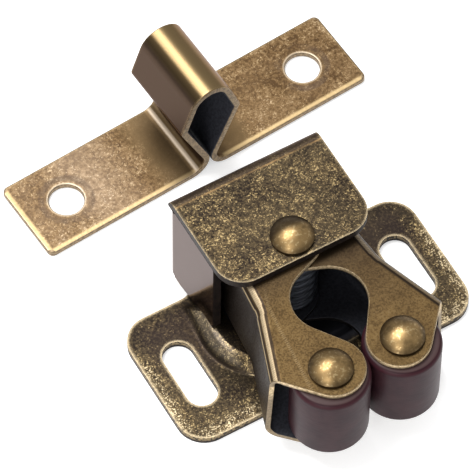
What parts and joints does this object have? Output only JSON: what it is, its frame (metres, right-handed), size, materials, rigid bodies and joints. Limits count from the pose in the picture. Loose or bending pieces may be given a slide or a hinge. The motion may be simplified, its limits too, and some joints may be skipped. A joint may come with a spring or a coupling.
{
  "type": "double roller catch",
  "caption": "Cabinet door catch with sprung folded jaws, plastic rollers and a slotted base, and its folded strike with an arrow-shaped prong.",
  "frame": {"origin": "midway between the base's two screw slots, on the mounting plane", "axes": "+Z away from the mounting surface, +X from one ear to the other, rollers facing -Y"},
  "size_m": [0.0434, 0.0525, 0.017],
  "materials": {
    "bracket_plating": "steel sheet with speckled antique bronze plating, edges rubbed bright",
    "jaw_plating": "steel sheet with satin antique bronze plating",
    "strike_plating": "steel sheet with light speckled antique bronze plating",
    "rivet_plating": "steel rivet with bright brass-toned plating",
    "spring_wire": "dark oiled spring steel wire",
    "roller_plastic": "dark reddish-brown satin nylon"
  },
  "bodies": {
    "root": {"bracket": "bracket_plating", "pivot_rivet": "rivet_plating", "torsion_spring": "spring_wire", "strike": "strike_plating"},
    "left_arm": {"left_jaw": "jaw_plating", "left_roller_pin": "rivet_plating"},
    "right_arm": {"right_jaw": "jaw_plating", "right_roller_pin": "rivet_plating"},
    "left_wheel": {"left_roller": "roller_plastic"},
    "right_wheel": {"right_roller": "roller_plastic"}
  },
  "joints": [
    {"name": "left_jaw_pivot", "type": "hinge", "parent": "root", "child": "left_arm", "pos_m": [0, 0.0021, 0.0083], "axis": [0, 0, -1], "range_deg": [0, 16], "stiffness_Nm_per_rad": 0.01, "springref_deg": -20.05, "deforming": ["torsion_spring"]},
    {"name": "right_jaw_pivot", "type": "hinge", "parent": "root", "child": "right_arm", "pos_m": [0, 0.0021, 0.0083], "axis": [0, 0, 1], "range_deg": [0, 16], "stiffness_Nm_per_rad": 0.01, "springref_deg": -20.05},
    {"name": "left_roller_spin", "type": "hinge", "parent": "left_arm", "child": "left_wheel", "pos_m": [-0.00446, -0.01375, 0.0087], "axis": [0, 0, 1], "continuous": true},
    {"name": "right_roller_spin", "type": "hinge", "parent": "right_arm", "child": "right_wheel", "pos_m": [0.00446, -0.01375, 0.008], "axis": [0, 0, 1], "continuous": true}
  ]
}
